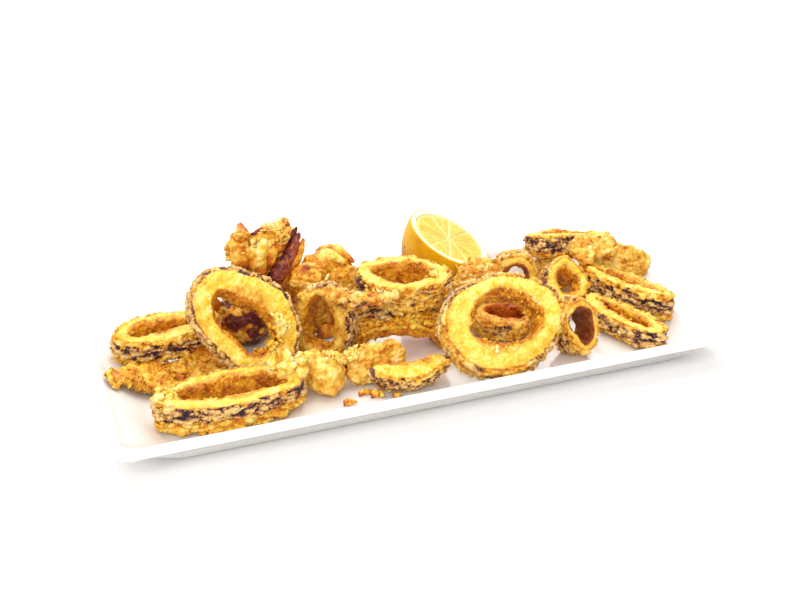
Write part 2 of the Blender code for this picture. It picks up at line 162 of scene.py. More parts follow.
# Each kind of crumb: share of the count, sizes, flatness, curl, tilt, how far out it stands, and
# paleness
FLAKES = (1.0, (0.0006, 0.0016), 0.25, 0.0, 0.6, (0.2, 0.3), 0.0)
CRUMBS_OF_CRUST = (1.0, (0.0005, 0.0013), 0.6, 0.0, 1.0, (0.2, 0.3), 0.0)
LOOSE_TUFTS = (0.32, (0.0009, 0.0024), 0.7, 0.3, 1.5, (0.2, 1.2), 0.6)
FRILLS = (0.10, (0.0012, 0.0028), 0.14, 0.9, 1.1, (0.0, 0.3), 0.0)
# The pieces that get frills, and those whose crust stays clear of crumbs
FRILLED = ("tentacle_scrap", "batter_lump", "fin_left")
SMOOTH_CRUST = ("tentacle_front", "tentacle_strip", "tentacles_back", "tentacles_curled")
# Pleats along the tentacles: how far apart, how high, how much longer than wide, and their seed
PLEATS = (0.0075, 0.0030, 0.55, 17)
# Where the batter gathers in tufts: the middle and the reach of each
TUFTS = [
    ((-0.080, -0.036, 0.033), 0.0075), ((-0.086, -0.040, 0.031), 0.006), ((-0.086, -0.004, 0.026), 0.008),
    ((-0.079, -0.006, 0.035), 0.006), ((-0.149, -0.045, 0.026), 0.005), ((-0.050, -0.030, 0.028), 0.007),
    ((-0.062, 0.050, 0.070), 0.009), ((-0.082, 0.048, 0.060), 0.009), ((0.030, -0.050, 0.024), 0.007),
    ((0.056, -0.045, 0.040), 0.007), ((0.014, 0.003, 0.046), 0.006), ((-0.003, -0.004, 0.036), 0.008),
]

# Folded leaves of batter, in tenths of a millimetre: path and width, then how far the edges bend
# back, and the finish
TENTHS = 10000
LEAVES = [
    ([(-785, 420, 490), (-815, 480, 630), (-830, 600, 742)], 120, 0.35, "golden"),
    ([(-800, 420, 520), (-865, 420, 570), (-925, 460, 640)], 65, 0.50, "brown"),
    ([(-735, 395, 490), (-795, 385, 580), (-865, 430, 665)], 110, 0.30, "golden"),
    ([(-760, 405, 590), (-700, 415, 665), (-620, 490, 735)], 75, 0.45, "pale"),
    ([(-790, 500, 690), (-715, 490, 725), (-640, 520, 745)], 34, 0.20, "maroon"),
    ([(-680, 390, 610), (-610, 430, 670), (-535, 530, 705)], 80, 0.40, "golden"),
    ([(-850, 400, 540), (-885, 410, 620), (-905, 480, 705)], 90, 0.35, "golden"),
    ([(-790, 385, 530), (-745, 385, 640), (-700, 450, 725)], 80, 0.40, "pale"),
    ([(-725, 385, 520), (-700, 375, 600), (-655, 410, 690)], 60, 0.40, "brown"),
    ([(-560, -530, 72), (-530, -540, 85), (-500, -550, 75)], 30, 0.40, "golden"),
    ([(-400, -510, 72), (-365, -515, 88), (-330, -525, 76)], 40, 0.40, "golden"),
    ([(-290, -560, 80), (-272, -565, 92), (-250, -570, 80)], 28, 0.40, "golden"),
    ([(-460, -470, 70), (-420, -465, 82), (-380, -470, 72)], 32, 0.40, "golden"),
    ([(-665, 385, 370), (-590, 385, 480), (-530, 410, 560), (-480, 450, 650)], 65, 0.40, "golden"),
    ([(-715, 375, 400), (-672, 365, 490), (-608, 380, 560), (-498, 455, 692)], 98, 0.30, "maroon"),
    ([(-615, 540, 700), (-585, 560, 735), (-545, 590, 740)], 40, 0.60, "pale"),
    ([(-440, 420, 520), (-350, 390, 545), (-240, 370, 480)], 80, 0.45, "pale"),
    ([(-400, 480, 530), (-290, 450, 545), (-180, 400, 470)], 75, 0.45, "golden"),
    ([(-540, 270, 440), (-460, 260, 420), (-360, 330, 450)], 55, 0.40, "pale"),
    ([(-880, 400, 100), (-1000, 420, 210), (-1085, 390, 420)], 140, 0.20, "brown"),
    ([(-990, 380, 125), (-880, 340, 125), (-770, 330, 130)], 95, 0.20, "brown"),
    ([(-400, 330, 90), (-350, 330, 160), (-330, 340, 240)], 100, 0.25, "brown"),
    ([(-475, 240, 105), (-400, 250, 112), (-320, 270, 110)], 80, 0.20, "brown"),
    ([(-910, -400, 230), (-905, -390, 300), (-885, -370, 370)], 60, 0.50, "pale"),
    ([(-850, -420, 240), (-835, -410, 320), (-840, -370, 390)], 65, 0.50, "pale"),
    ([(-785, -470, 220), (-765, -460, 290), (-770, -430, 350)], 60, 0.50, "pale"),
    ([(-890, -450, 250), (-840, -455, 300), (-790, -450, 320)], 50, 0.40, "pale"),
]
# Which way leaves face, their grid, their ripple's size and seed, their thickness and their crags
LEAF_FACING = (-0.24, -0.93, 0.28)
LEAF_GRID = (8, 18)
LEAF_RIPPLE = (1.0, 50)
LEAF_THICK = 0.0011
LEAF_CRAGS = 0.0007
# Finish of a leaf: how golden inside, how pale, how maroon, how much painted shade lies in its folds
LEAF_FINISH = {
    "golden": (0.55, 0.25, 0.0, 0.15), "pale": (0.0, 0.75, 0.0, 0.0), "brown": (0.9, 0.0, 0.0, 0.35),
    "maroon": (0.0, 0.0, 1.0, 0.0),
}
# The middle of the curled tentacles' round end, painted dark with shade, and its reach
CURL_MIDDLE = (-0.0513, 0.0320, 0.0524)
CURL_REACH = 0.0026

# Lemon half: the way its cut face points, its radius, the dome's depth, the nub at its end, the
# peel's thickness, how deep the flesh goes, and its segments
LEMON_FACING = -38.0
LEMON_RISE = 62.0
LEMON_RADIUS = 0.0285
LEMON_DOME = 0.0395
LEMON_NUB = 0.0035
PEEL = 0.0042
PEEL_STEPS = 160
FLESH_DEPTH = 0.0115
FLESH_RINGS = 26
SEGMENTS = 10
SEGMENT_STEPS = 18
SWELL_SEED = 5
# The dome's steps from the nub's edge, of those from its pole to the cut face
DOME_FROM, DOME_STEPS = 8, 58
# The nub's outline: radius, and share of the nub's length
NUB = [(0.0, 1.0), (0.0018, 0.95), (0.0036, 0.62), (0.0052, 0.05)]
# The flesh's pale rim, walls and core fade over these lengths; its level under the cut face, how far
# the rim stands up, how far a segment puffs, and the pulp cells round it and along it
RIM_FADE, WALL_FADE, CORE_FADE = 0.0011, 0.00055, 0.0028
FLESH_LEVEL, RIM_UP, PUFF = -0.0012, 0.0004, 0.0007
PULP_CELLS = (26, 7.5)

# Platter: half its plan, the roundness of its corners, and the foot's inside edge, from the edge in
PLATTER_HALF = (0.180, 0.084)
CORNER = 0.010
FOOT_IN = (0.0335, 0.0255, 0.0015)
# Then each level, as inset along X, inset along Y and height: the foot and the flared underside
UNDERSIDE = [
    (0.0331, 0.0251, 0.0004), (0.0326, 0.0246, 0.0), (0.0294, 0.0214, 0.0), (0.0286, 0.0206, 0.0003),
    (0.0274, 0.0196, 0.0013), (0.0150, 0.0116, 0.0096), (0.0035, 0.0035, 0.0164),
]
# The rim's two round edges: inset, how tall, height of the middle, and steps
RIM_BELOW = (0.0018, 0.0020, 0.0190, 5)
RIM_ABOVE = (0.0020, 0.0020, 0.0200, 6)
RIM_TOP = [(0.0034, 0.0034, 0.0220), (0.0044, 0.0043, 0.0217), (0.0055, 0.0052, 0.0209),
           (0.0068, 0.0061, 0.0197)]
# The slope down to the floor: where it starts, how far it goes, its bend and its steps
SLOPE_FROM, SLOPE_BY, SLOPE_BEND, SLOPE_STEPS = RIM_TOP[-1], (0.0192, 0.0132, 0.0122), 1.05, 8
FLOOR = [(0.0285, 0.0210, 0.0066), (0.0318, 0.0233, 0.0062), (0.0360, 0.0262, 0.0060)]

# Studio: lamps as name, place, target, size, power and colour; the camera's place, turn and lens
LAMPS = [
    ("key", (0.10, 0.35, 1.30), (0, 0, 0.02), 1.2, 15.5, (1, 0.985, 0.965)),
    ("back", (0.45, 1.30, 0.90), (0.15, 0.45, 0.0), 1.2, 9.0, (1, 1, 1)),
    ("front", (-0.55, -0.9, 0.8), (0, 0, 0.03), 0.8, 9.0, (1, 1, 1)),
]
SKY = (1, 0.99, 0.975, 1)
SKY_LIGHT = 0.66
CAMERA_PLACE = (-0.1976, -0.5049, 0.2911)
CAMERA_YAW, CAMERA_DOWN, LENS = -21.02, 25.15, 45.96


def linear(red, green, blue):
    """A colour given as seen, 0 to 255, in the shader's linear light."""
    seen = [value / 255 for value in (red, green, blue)]
    return tuple(v / 12.92 if v < 0.04045 else ((v + 0.055) / 1.055) ** 2.4 for v in seen) + (1,)


# ---- modelling helpers


def pick(thing):
    """Only this piece is selected, and it is the active one."""
    if bpy.context.object and bpy.context.object.mode != "OBJECT":
        bpy.ops.object.mode_set(mode="OBJECT")
    bpy.ops.object.select_all(action="DESELECT")
    thing.select_set(True)
    bpy.context.view_layer.objects.active = thing


def edit_all():
    """Edit mode, with everything selected."""
    bpy.ops.object.mode_set(mode="EDIT")
    bpy.ops.mesh.select_all(action="SELECT")


def bring_in(name, data):
    """A new object with this data, linked to the scene."""
    thing = bpy.data.objects.new(name, data)
    bpy.context.scene.collection.objects.link(thing)
    return thing


def coat(thing, material):
    """The piece has this one material and smooth shading."""
    thing.data.materials.clear()
    thing.data.materials.append(material)
    pick(thing)
    bpy.ops.object.shade_smooth()


def finish_with(thing, kind, **settings):
    """Add one modifier to a piece and apply it."""
    pick(thing)
    added = thing.modifiers.new(kind.lower(), kind)
    for name, value in settings.items():
        setattr(added, name, value)
    bpy.ops.object.modifier_apply(modifier=added.name)


def copy_of_solid(node, name):
    """A piece that starts as a CAD node's shape, with its loose triangles welded."""
    thing = bring_in(name, SOLIDS[node].data.copy())
    thing.data.name = name
    thing.data.materials.clear()
    pick(thing)
    edit_all()
    bpy.ops.mesh.remove_doubles(threshold=HAIR)
    bpy.ops.object.mode_set(mode="OBJECT")
    return thing


def triples(values, key):
    flat = np.zeros(len(values) * 3, np.float32)
    values.foreach_get(key, flat)
    return flat.reshape(-1, 3).astype(float)


def points_of(thing):
    """Where a piece's vertices are."""
    return triples(thing.data.vertices, "co")


def normals_of(thing):
    """Which way a piece's surface faces at each vertex."""
    return triples(thing.data.vertex_normals, "vector")


def set_marks(thing, **marks):
    """Store numbers from 0 to 1 per vertex for the materials to read."""
    for name, values in marks.items():
        mark = thing.data.attributes.get(name) or thing.data.attributes.new(name, "FLOAT", "POINT")
        mark.data.foreach_set("value", np.clip(values, 0, 1).astype(np.float32))


def move_points(thing, points):
    thing.data.vertices.foreach_set("co", points.astype(np.float32).ravel())
    thing.data.update()


def get_mark(thing, name):
    values = np.zeros(len(thing.data.vertices), np.float32)
    thing.data.attributes[name].data.foreach_get("value", values)
    return values


def weigh(thing, group, values):
    """A vertex group with these weights, in even steps."""
    made = thing.vertex_groups.new(name=group)
    steps = np.rint(np.clip(values, 0, 1) * WEIGHT_STEPS).astype(int)
    for step in range(1, WEIGHT_STEPS + 1):
        made.add(np.nonzero(steps == step)[0].tolist(), step / WEIGHT_STEPS, "REPLACE")


def ease(low, high, values):
    """From 0 at low to 1 at high, with soft ends."""
    t = np.clip((values - low) / (high - low), 0, 1)
    return t * t * (3 - 2 * t)


def aim(facing, rise, spin=0.0):
    """Local Z points to the compass angle facing and rise degrees above level."""
    return (Matrix.Rotation(math.radians(facing), 4, "Z")
            @ Matrix.Rotation(math.radians(90.0 - rise), 4, "Y")
            @ Matrix.Rotation(math.radians(spin), 4, "Z"))


def patches(points, size, seed):
    """Smooth noise from about -1 to 1 at each point."""
    shift = Vector((seed * 1.7, seed * 2.9, seed * 0.7))
    return np.array([noise.noise(Vector(p) / size + shift) for p in points])


# ---- crust


def relief(name, kind, size, **settings):
    """A bumpy pattern for the batter's surface."""
    made = bpy.data.textures.new(name, kind)
    made.noise_scale = size
    for key, value in settings.items():
        setattr(made, key, value)
    return made


LUMPS = relief("batter_lumps", "CLOUDS", 0.0062, noise_depth=2)
NODULES = relief("batter_nodules", "VORONOI", 0.0019, distance_metric="DISTANCE", noise_intensity=1.0)
CRAGS = relief("batter_crags", "MUSGRAVE", 0.0028, musgrave_type="RIDGED_MULTIFRACTAL", octaves=3.0,
               noise_intensity=0.8)
GRAIN = relief("batter_grain", "CLOUDS", 0.0010, noise_depth=2)

# The crust's layers, from the first to the last: pattern, height, middle level and where it goes
CRUST_LAYERS = [
    (LUMPS, 0.0030, 0.50, ""), (NODULES, -0.0008, 0.42, "rough"), (CRAGS, 0.0015, 0.45, "rough"),
    (None, 0.0017, 0.0, "flaky"), (GRAIN, 0.0009, 0.50, "rough"),
]


def raise_layer(thing, pattern, high, middle, where=""):
    finish_with(thing, "DISPLACE", texture=pattern, texture_coords="LOCAL", strength=high,
                mid_level=middle, vertex_group=where)


def under_top(points):
    """Crumbs and crust stay under the solids' own top."""
    points[:, 2] -= TOP_PRESS * np.maximum(points[:, 2] - TOP, 0)
    return points


def crust(thing, rough, flaky):
    """Raise the batter's lumps, crags, flakes and grain, and keep how high each point stands."""
    weigh(thing, "rough", rough)
    weigh(thing, "flaky", flaky)
    raise_layer(thing, *CRUST_LAYERS[0])
    before, normals = points_of(thing), normals_of(thing)
    for layer in CRUST_LAYERS[1:]:
        raise_layer(thing, *layer)
    after = under_top(points_of(thing))
    move_points(thing, after)
    # How high each point stands is kept as crag, which the batter's colour reads as painted shade in the
    # hollows and lighter bumps.
    height = ((after - before) * normals).sum(1) * 1000.0
    height -= np.average(height, weights=0.05 + rough)
    set_marks(thing, crag=0.5 + 0.45 * height)
    thing.vertex_groups.clear()


def terraces(sheets):
    """Thin sheets of batter lying over each other, from 0 to 1, with sharp edges."""
    return (ease(-0.18, -0.04, sheets) + 0.8 * ease(0.16, 0.30, sheets)) / 1.8


def crowd_field():
    """How full the space is round each cell of the heap, smoothed, to set the painted shade between pieces.
    """
    low, high = (np.array(corner) for corner in CAD_BOX)
    full = np.zeros(np.ceil((high - low) / CELL).astype(int) + 2 * CELLS_ROUND)
    for node, solid in SOLIDS.items():
        if node == "platter":
            continue
        tree = BVHTree.FromObject(solid, bpy.context.evaluated_depsgraph_get())
        box_low, box_high = (np.array(corner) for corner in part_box(node))
        first = np.floor((box_low - low) / CELL).astype(int) + CELLS_ROUND
        last = np.ceil((box_high - low) / CELL).astype(int) + CELLS_ROUND
        for i in range(first[0], last[0] + 1):
            for j in range(first[1], last[1] + 1):
                place = Vector((low[0] + (i - CELLS_ROUND) * CELL, low[1] + (j - CELLS_ROUND) * CELL,
                                box_low[2] - CELL))
                walls = []
                for _ in range(MOST_WALLS):
                    hit = tree.ray_cast(place, Vector((0, 0, 1)))
                    if hit[0] is None:
                        break
                    walls.append(hit[0].z)
                    place = hit[0] + Vector((0, 0, HAIR))
                for bottom, top in zip(walls[::2], walls[1::2]):
                    cells = (np.array([bottom, top]) - low[2]) / CELL + CELLS_ROUND
                    full[i, j, int(math.ceil(cells[0])):int(math.floor(cells[1])) + 1] = 1
    for axis in range(3):
        for _ in range(BLURS):
            full = 0.25 * np.roll(full, 1, axis) + 0.5 * full + 0.25 * np.roll(full, -1, axis)
    return full, low


def crowding(points, normals, field):
    """How much stands close in front of each point, from 0 to 1, which sets how much painted shade it gets.
    """
    full, low = field
    spots = (points + normals * CROWD_REACH - low) / CELL + CELLS_ROUND
    spots = np.clip(spots, 0, np.array(full.shape) - 2)
    base = np.floor(spots).astype(int)
    part = spots - base
    total = np.zeros(len(points))
    for corner in range(8):
        bits = np.array([corner & 1, corner >> 1 & 1, corner >> 2 & 1])
        share = np.where(bits, part, 1 - part).prod(1)
        at = base + bits
        total += share * full[at[:, 0], at[:, 1], at[:, 2]]
    return total


def fine_mesh(node, share=1.0):
    """A node's shape as a fine, even mesh, smoothed by a share of the usual passes."""
    thing = copy_of_solid(node, node + "_fried")
    finish_with(thing, "REMESH", mode="VOXEL", voxel_size=VOXEL, use_smooth_shade=True)
    finish_with(thing, "SMOOTH", factor=0.5, iterations=int(SMOOTHING * share))
    return thing


def settle(thing, node, material):
    """The finished piece takes its node's place."""
    coat(thing, material)
    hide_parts(node)
    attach(thing, BODY)


def squid_ring(node, material, field):
    """A ring: pale cut ends, golden inside, dark skin round the outside between golden lips."""
    facing, rise, spin, length, depth, band, wall, arc = RINGS[node]
    thing = fine_mesh(node)
    turn = np.array(aim(facing, rise, spin).to_3x3())
    points, normals = points_of(thing), normals_of(thing)
    local, ways = points @ turn, normals @ turn
    middle = (local.min(0) + local.max(0)) / 2
    if arc < 360:
        middle[1] = local[:, 1].max() - depth / 2
    local = local - middle
    away = np.stack([local[:, 0] / (length / 2) ** 2, local[:, 1] / (depth / 2) ** 2], 1)
    away /= np.maximum(np.linalg.norm(away, axis=1), 1e-9)[:, None]
    out = (ways[:, :2] * away).sum(1)
    along = local[:, 2] / (band / 2)
    wobble, ragged = patches(points, *WOBBLE), patches(points, *RAGGED)
    sheets = patches(local * np.array([1, 1, 5.5]), *SHEETS) + 0.5 * ragged
    wall_side = out - np.abs(ways[:, 2]) + 0.15 * ragged
    place, half = SKIN_PLACE.get(node, (0.1, 0.55))
    skin = ease(-0.05, 0.30, wall_side)
    skin *= 1 - ease(half - 0.12, half + 0.14, np.abs(along - place) + 0.25 * wobble + 0.25 * ragged)
    inner = np.maximum(ease(0.0, 0.8, -out + 0.15 * wobble), RING_GOLD.get(node, 0.0))
    amount = RING_SKIN.get(node, 1.0)
    bare = ease(-0.3, 0.3, patches(points, *BARE))
    skin = np.clip(skin * (1 - 1.4 * (1 - amount) * bare), 0, 1)
    outside = ease(0.0, 0.5, wall_side)
    inner = np.maximum(inner, 0.6 * outside * (1 - skin) * ease(-0.4, 0.3, wobble + 0.3 * ragged))
    # The cut face is paler along the middle of its wall: partly the squid's pale flesh, partly a painted
    # highlight along the rim's crown.
    inwards = 1 - np.hypot(local[:, 0] / (length / 2), local[:, 1] / (depth / 2))
    across = inwards * (length + depth) / 4 / wall
    flesh_and_highlight = np.exp(-((across - 0.42) / 0.34) ** 2)
    pale = (1 - ease(-0.20, 0.25, wall_side)) * (0.55 + 0.55 * flesh_and_highlight + 0.2 * wobble)
    # Painted shade: darker and browner in the ring's hollow and where other pieces crowd in front of it.
    brown = RING_INSIDE_SHADE.get(node, 0.0) * ease(0.0, 0.6, -out) + RING_SHADE_SHIFT.get(node, 0.0)
    set_marks(thing, skin=skin, inner=inner, cut=pale - 0.8 * inner, maroon=np.zeros(len(points)),
              flake=0.5 + 0.9 * sheets, deep=ease(*CROWD_SHADE, crowding(points, normals, field)) + brown)
    rough = 0.16 + outside * (0.40 + 0.45 * skin) + 0.2 * inner
    crust(thing, np.clip(rough, 0, 1), np.clip(outside * terraces(sheets), 0, 1))
    settle(thing, node, material)
    return thing


def tentacle(node, material, field):
    """A tentacle, fin or lump: golden batter with dark skin showing in patches."""
    dark, golden, craggy = TENTACLES[node]
    thing = fine_mesh(node, 0.35)
    points, normals = points_of(thing), normals_of(thing)
    if node == "tentacles_back":
        away = np.linalg.norm(points - np.array(LOW_ARM), axis=1)
        low_arm = 1 - ease(LOW_ARM_REACH * 0.7, LOW_ARM_REACH, away)
        points = points + normals * (LOW_ARM_SWELL * low_arm)[:, None]
    apart, tall, longer, seed = PLEATS
    pleats = (1 - np.abs(patches(points * np.array([1, 1, longer]), apart, seed))) ** 4
    folded = float(ease(0.45, 0.85, craggy))
    points = points + normals * (tall * folded * (pleats - 0.45))[:, None]
    points[:, 2] = np.maximum(points[:, 2], FLOOR_TOP)
    move_points(thing, points)
    normals = normals_of(thing)
    broad, small = patches(points, *BROAD), patches(points, *SMALL)
    skin = ease(0.45 - dark, 0.85 - dark, 0.5 * broad + 0.35 * small + 0.25 - 0.25 * normals[:, 2])
    skin = skin * (0.35 + 0.65 * dark)
    sheets = patches(points * np.array([1, 1, 2.5]), *THIN_SHEETS) + 0.5 * small
    maroon = np.zeros(len(points))
    if node == "tentacles_back":
        path = [Vector(p) for p in BLADE_PATH]
        along = [path[i].lerp(path[i + 1], k / 4) for i in range(len(path) - 1) for k in range(5)]
        offsets = points[:, None, :] - np.array(along)[None, :, :]
        spans = np.linalg.norm(offsets, axis=2)
        near = spans.min(1)
        beside = offsets[np.arange(len(points)), spans.argmin(1)] @ np.array(BLADE_RIGHT)
        maroon = 1 - ease(BLADE_REACH * 0.7, BLADE_REACH, near)
        maroon = maroon * ease(-0.2, 0.3, -normals[:, 1] + 0.2 * small)
        maroon *= 1 - ease(BLADE_EDGE, BLADE_EDGE + BLADE_SOFT, beside + BLADE_SOFT * small)
        maroon = np.maximum(maroon, 0.9 * low_arm * ease(-0.5, 0.1, broad + 0.5 * small))
    # Painted shade: where other pieces crowd in front, in the furrows between the pleats, in the middle of
    # the curl, and a little more on the most golden pieces.
    curl = np.exp(-(np.linalg.norm(points - np.array(CURL_MIDDLE), axis=1) / CURL_REACH) ** 2)
    deep = ease(*CROWD_SHADE, crowding(points, normals, field)) + 0.08 * ease(0.8, 1.0, golden)
    deep = deep + folded * (1 - ease(0.2, 0.6, pleats)) + curl
    set_marks(thing, skin=skin, inner=golden * (0.65 + 0.5 * broad), cut=0.5 * (1 - golden) + 0.35 * small,
              maroon=maroon, flake=0.5 + 0.9 * sheets, deep=deep)
    crust(thing, craggy * (1 - 0.6 * maroon), np.clip((1 - maroon) * craggy * terraces(sheets), 0, 1))
    settle(thing, node, material)
    return thing


def leaves(name, material):
    """Thin folded leaves of batter, each shaped from a grid bent along its path."""
    made = []
    facing = np.array(LEAF_FACING)
    for i, (path, width, bend, finish) in enumerate(LEAVES):
        path, width = np.array(path) / TENTHS, width / TENTHS
        bpy.ops.mesh.primitive_grid_add(x_subdivisions=LEAF_GRID[0], y_subdivisions=LEAF_GRID[1], size=2.0)
        leaf = bpy.context.object
        grid = points_of(leaf)
        across, along = grid[:, 0], (grid[:, 1] + 1) / 2
        stops = np.linspace(0, 1, len(path))
        middle = np.stack([np.interp(along, stops, path[:, axis]) for axis in range(3)], 1)
        for axis in range(3):
            fitted = np.polyfit(stops, path[:, axis], 2)
            middle[:, axis] = 0.35 * middle[:, axis] + 0.65 * np.polyval(fitted, along)
        ahead = path[-1] - path[0]
        side = np.cross(ahead, facing)
        side /= np.linalg.norm(side)
        taper = np.clip(np.sin(math.pi * np.clip(0.16 + 0.84 * along, 0, 1)), 0, 1) ** 0.7
        spread = np.stack([across * 0.4, along * 4.0, np.full(len(along), i * 1.0)], 1)
        ripple = patches(spread, *LEAF_RIPPLE)
        half = width / 2 * np.maximum(taper, 0.04) * (1 + 0.35 * ripple)
        placed = middle + side * (across * half)[:, None]
        placed += facing * (width * (0.22 * ripple - bend * across ** 2))[:, None]
        move_points(leaf, placed)
        inner, cut, maroon, deep = LEAF_FINISH[finish]
        # The ripple that bends a leaf also paints its bulges paler and its dips more shaded, and painted
        # shade darkens both its ends: painted light and shade.
        edge = np.abs(across) ** 4
        pale = np.clip(cut + 0.4 * edge + 0.4 * ripple, 0, 1)
        shade_in_folds = deep + 0.7 * ease(0.35, 0.0, along) + 0.5 * ease(0.82, 1.0, along) - 0.6 * ripple
        set_marks(leaf, inner=inner + 0.3 * ripple, cut=pale * (1 - maroon),
                  maroon=maroon * (1.15 - 0.5 * edge), deep=np.clip(shade_in_folds, 0, 1) * (1 - maroon),
                  skin=np.zeros(len(along)),
                  flake=np.full(len(along), 0.6), crag=0.5 + 0.9 * ripple + 0.25 * edge)
        finish_with(leaf, "SOLIDIFY", thickness=LEAF_THICK, offset=0.0)
        finish_with(leaf, "SUBSURF", levels=1, render_levels=1)
        raise_layer(leaf, CRAGS, LEAF_CRAGS, 0.45)
        move_points(leaf, under_top(points_of(leaf)))
        made.append(leaf)
    bpy.ops.object.select_all(action="DESELECT")
    for leaf in made:
        leaf.select_set(True)
    bpy.context.view_layer.objects.active = made[0]
    bpy.ops.object.join()
    thing = bpy.context.object
    bpy.ops.object.transform_apply(location=True, rotation=True, scale=True)
    thing.name = thing.data.name = name
    coat(thing, material)
    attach(thing, BODY)


# ---- crumbs


MARKS = ("skin", "inner", "cut", "maroon", "flake", "deep")


def crumb_shapes(rng, flat, curl):
    """A few crinkled crumb shapes, each with a few dozen faces, curled up at their edges."""
    bpy.ops.mesh.primitive_uv_sphere_add(segments=7 if curl else 6, ring_count=4, radius=1.0)
    seed_piece = bpy.context.object
    rest = points_of(seed_piece)
    seed_piece.data.calc_loop_triangles()
    faces = np.array([tuple(t.vertices) for t in seed_piece.data.loop_triangles])
    bpy.data.objects.remove(seed_piece, do_unlink=True)
    shapes = []
    for i in range(CRUMB_SHAPES):
        bumps = patches(rest * 0.9, 0.75, 20 + i)
        shape = rest * (1 + 0.75 * bumps)[:, None] * np.array([1, rng.uniform(0.55, 0.95), flat])
        shape[:, 2] += 0.45 * patches(rest * np.array([1, 1, 0]), 0.9, 40 + i) + curl * shape[:, 0] ** 2
        shapes.append(shape)
    return shapes, faces


def sprinkle(name, hosts, density, kind, material, rng):
    """Crumbs of batter stuck to the crust of the pieces, more where density is high, as one mesh."""
    share, sizes, flat, curl, tilt, stand, paler = kind
    shapes, faces = crumb_shapes(rng, flat, curl)
    spots, ways, marks, weights = [], [], [], []
    for host in hosts:
        points, normals = points_of(host), normals_of(host)
        values = {m: get_mark(host, m) for m in MARKS + ("crag",)}
        spots.append(points)
        ways.append(normals)
        marks.append(np.stack([values[m] for m in MARKS], 1))
        weights.append(density(values, points) * (1 - 0.97 * values["maroon"]))
    spots, ways = np.concatenate(spots), np.concatenate(ways)
    marks, weights = np.concatenate(marks), np.concatenate(weights)
    picker = np.random.default_rng(rng.randrange(1 << 30))
    chosen = picker.choice(len(spots), size=int(CRUMBS * share), replace=False, p=weights / weights.sum())
    all_points, all_faces, all_marks, all_crags = [], [], [], []
    for i, spot in enumerate(chosen):
        shape = shapes[i % len(shapes)]
        size = rng.uniform(*sizes) * rng.uniform(0.6, 1.0)
        face_out = Vector(ways[spot]).to_track_quat("Z", "Y").to_matrix()
        spin = Matrix.Rotation(rng.uniform(0, math.tau), 3, "Z")
        lean = Matrix.Rotation(rng.uniform(-tilt, tilt), 3, "X")
        turn = np.array(face_out @ spin @ lean)
        all_points.append(shape @ turn.T * size + spots[spot] + ways[spot] * size * rng.uniform(*stand))
        all_faces.append(faces + i * len(shape))
        all_marks.append(np.repeat(marks[spot:spot + 1], len(shape), 0))
        # Each crumb gets its own random tone, with painted light making its outward side lighter.
        all_crags.append(np.full(len(shape), rng.uniform(0.3, 0.85)) + 0.15 * shape[:, 2])
    mesh = bpy.data.meshes.new(name)
    mesh.from_pydata(under_top(np.concatenate(all_points)).tolist(), [], np.concatenate(all_faces).tolist())
    thing = bring_in(name, mesh)
    # Crumbs take the marks of the crust under them, their painted shade among them.
    skin, inner, cut, maroon, flake, deep = np.concatenate(all_marks).T
    set_marks(thing, skin=skin * (0.75 - 0.75 * paler), inner=inner, cut=np.maximum(cut, paler),
              maroon=maroon, flake=0.35 + 0.65 * flake, deep=deep, crag=np.concatenate(all_crags))
    coat(thing, material)
    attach(thing, BODY)


def near_tufts(points):
    """Where the batter has gathered in loose tufts, from 0 to 1."""
    return np.max([np.exp(-(np.linalg.norm(points - np.array(spot), axis=1) / size) ** 2)
                   for spot, size in TUFTS], axis=0)


def rim_edge(cut):
    """The edges of a ring's cut face, where the batter frills."""
    return 0.03 + ease(0.1, 0.35, cut) * (1 - ease(0.55, 0.85, cut))


def clumps(points):
    """Uneven gatherings of crumbs."""
    return np.clip(patches(points, *CLUMPS) * 2.2 + 0.1, 0.0, 1.0) ** 2


# ---- materials


